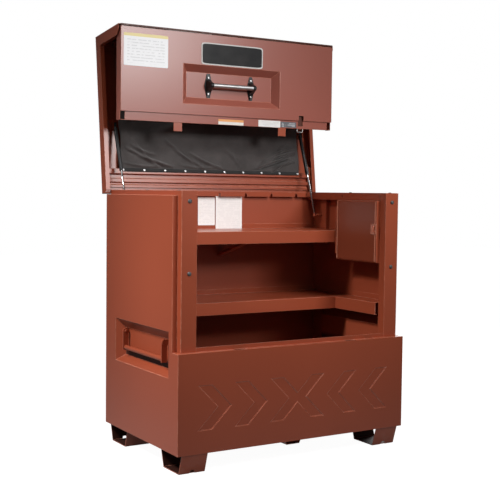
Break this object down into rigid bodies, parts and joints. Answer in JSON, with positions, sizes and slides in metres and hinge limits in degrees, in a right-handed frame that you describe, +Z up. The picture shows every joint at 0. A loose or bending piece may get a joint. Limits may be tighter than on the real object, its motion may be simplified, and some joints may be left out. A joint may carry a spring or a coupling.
{
  "type": "jobsite storage box",
  "caption": "Steel jobsite storage box on folded feet, its lid and folding front door raised over shelves, a small locker and lifting handles.",
  "frame": {"origin": "on the floor under the middle of the open box's bounding box", "axes": "+X to the right end, +Y to the back, +Z up"},
  "size_m": [1.228, 0.889, 1.9849],
  "materials": {
    "brown_paint": "semi-gloss powder coat",
    "black_paint": "satin black",
    "bright_steel": "brushed",
    "rod_chrome": "polished",
    "black_fabric": "woven"
  },
  "bodies": {
    "body": {"side_panel_left": "brown_paint", "side_panel_right": "brown_paint", "back_panel": "brown_paint", "floor_pan": "brown_paint", "front_panel": "brown_paint", "front_post_left": "brown_paint", "front_post_right": "brown_paint", "rear_top_rail": "brown_paint", "side_rail_left": "brown_paint", "side_rail_right": "brown_paint", "foot_front_left": "brown_paint", "foot_front_right": "brown_paint", "foot_rear_left": "brown_paint", "foot_rear_right": "brown_paint", "floor_channel": "brown_paint", "upper_shelf": "brown_paint", "lower_shelf": "brown_paint", "side_shelf": "brown_paint", "shelf_brace": "brown_paint", "spring_upright_left": "brown_paint", "spring_upright_right": "brown_paint", "locker_box": "brown_paint", "locker_hinge": "bright_steel", "handle_pan_left": "brown_paint", "handle_pan_right": "brown_paint", "handle_ears_left": "brown_paint", "handle_ears_right": "brown_paint", "lid_hinge_body": "brown_paint"},
    "lid": {"lid_shell": "brown_paint", "lid_beam": "brown_paint", "lid_hinge_lid": "brown_paint", "door_hinge_lid": "brown_paint", "fabric_liner": "black_fabric", "liner_rail": "brown_paint", "lid_gusset_left": "brown_paint", "lid_gusset_right": "brown_paint", "spring_stay_left": "brown_paint", "spring_stay_right": "brown_paint"},
    "door": {"door_shell": "brown_paint", "door_hinge_door": "brown_paint", "grip_brackets": "black_paint", "grip_bar": "bright_steel", "catch_tabs": "brown_paint", "lock_pocket": "black_paint", "lock_staple": "bright_steel"},
    "spring_cylinder_left": {"spring_cylinder_left": "black_paint"},
    "spring_cylinder_right": {"spring_cylinder_right": "black_paint"},
    "spring_rod_left": {"spring_rod_left": "rod_chrome"},
    "spring_rod_right": {"spring_rod_right": "rod_chrome"},
    "side_handle_left": {"side_handle_left": "brown_paint"},
    "side_handle_right": {"side_handle_right": "brown_paint"},
    "locker_door": {"locker_door": "brown_paint", "locker_hasp": "brown_paint"}
  },
  "joints": [
    {"name": "lid_hinge", "type": "hinge", "parent": "body", "child": "lid", "pos_m": [0, 0.31847, 1.205], "axis": [1, 0, 0], "range_deg": [0, 96.7]},
    {"name": "door_hinge", "type": "hinge", "parent": "lid", "child": "door", "pos_m": [0, 0.16784, 1.97986], "axis": [1, 0, 0], "range_deg": [-125.71, 0]},
    {"name": "spring_pivot_left", "type": "hinge", "parent": "lid", "child": "spring_cylinder_left", "pos_m": [-0.543, 0.36947, 1.53], "axis": [1, 0, 0], "range_deg": [-16.2, 0]},
    {"name": "spring_stroke_left", "type": "slide", "parent": "spring_cylinder_left", "child": "spring_rod_left", "axis": [0, 0.3362, 0.9418], "range_m": [0, 0.2079]},
    {"name": "spring_pivot_right", "type": "hinge", "parent": "lid", "child": "spring_cylinder_right", "pos_m": [0.543, 0.36947, 1.53], "axis": [1, 0, 0], "range_deg": [-16.2, 0]},
    {"name": "spring_stroke_right", "type": "slide", "parent": "spring_cylinder_right", "child": "spring_rod_right", "axis": [0, 0.3362, 0.9418], "range_m": [0, 0.2079]},
    {"name": "side_handle_left_pivot", "type": "hinge", "parent": "body", "child": "side_handle_left", "pos_m": [-0.5925, -0.07653, 0.553], "axis": [0, 1, 0], "range_deg": [0, 90]},
    {"name": "side_handle_right_pivot", "type": "hinge", "parent": "body", "child": "side_handle_right", "pos_m": [0.5925, -0.07653, 0.553], "axis": [0, -1, 0], "range_deg": [0, 90]},
    {"name": "locker_hinge", "type": "hinge", "parent": "body", "child": "locker_door", "pos_m": [0.486, -0.05753, 1.025], "axis": [0, 0, -1], "range_deg": [0, 90]}
  ],
  "couplings": [
    {"joint": "door_hinge", "follows": "lid_hinge", "ratio": -1.3},
    {"joint": "spring_pivot_left", "follows": "lid_hinge", "ratio": -0.16748},
    {"joint": "spring_stroke_left", "follows": "lid_hinge", "m_per_rad": 0.12316},
    {"joint": "spring_pivot_right", "follows": "lid_hinge", "ratio": -0.16748},
    {"joint": "spring_stroke_right", "follows": "lid_hinge", "m_per_rad": 0.12316}
  ]
}
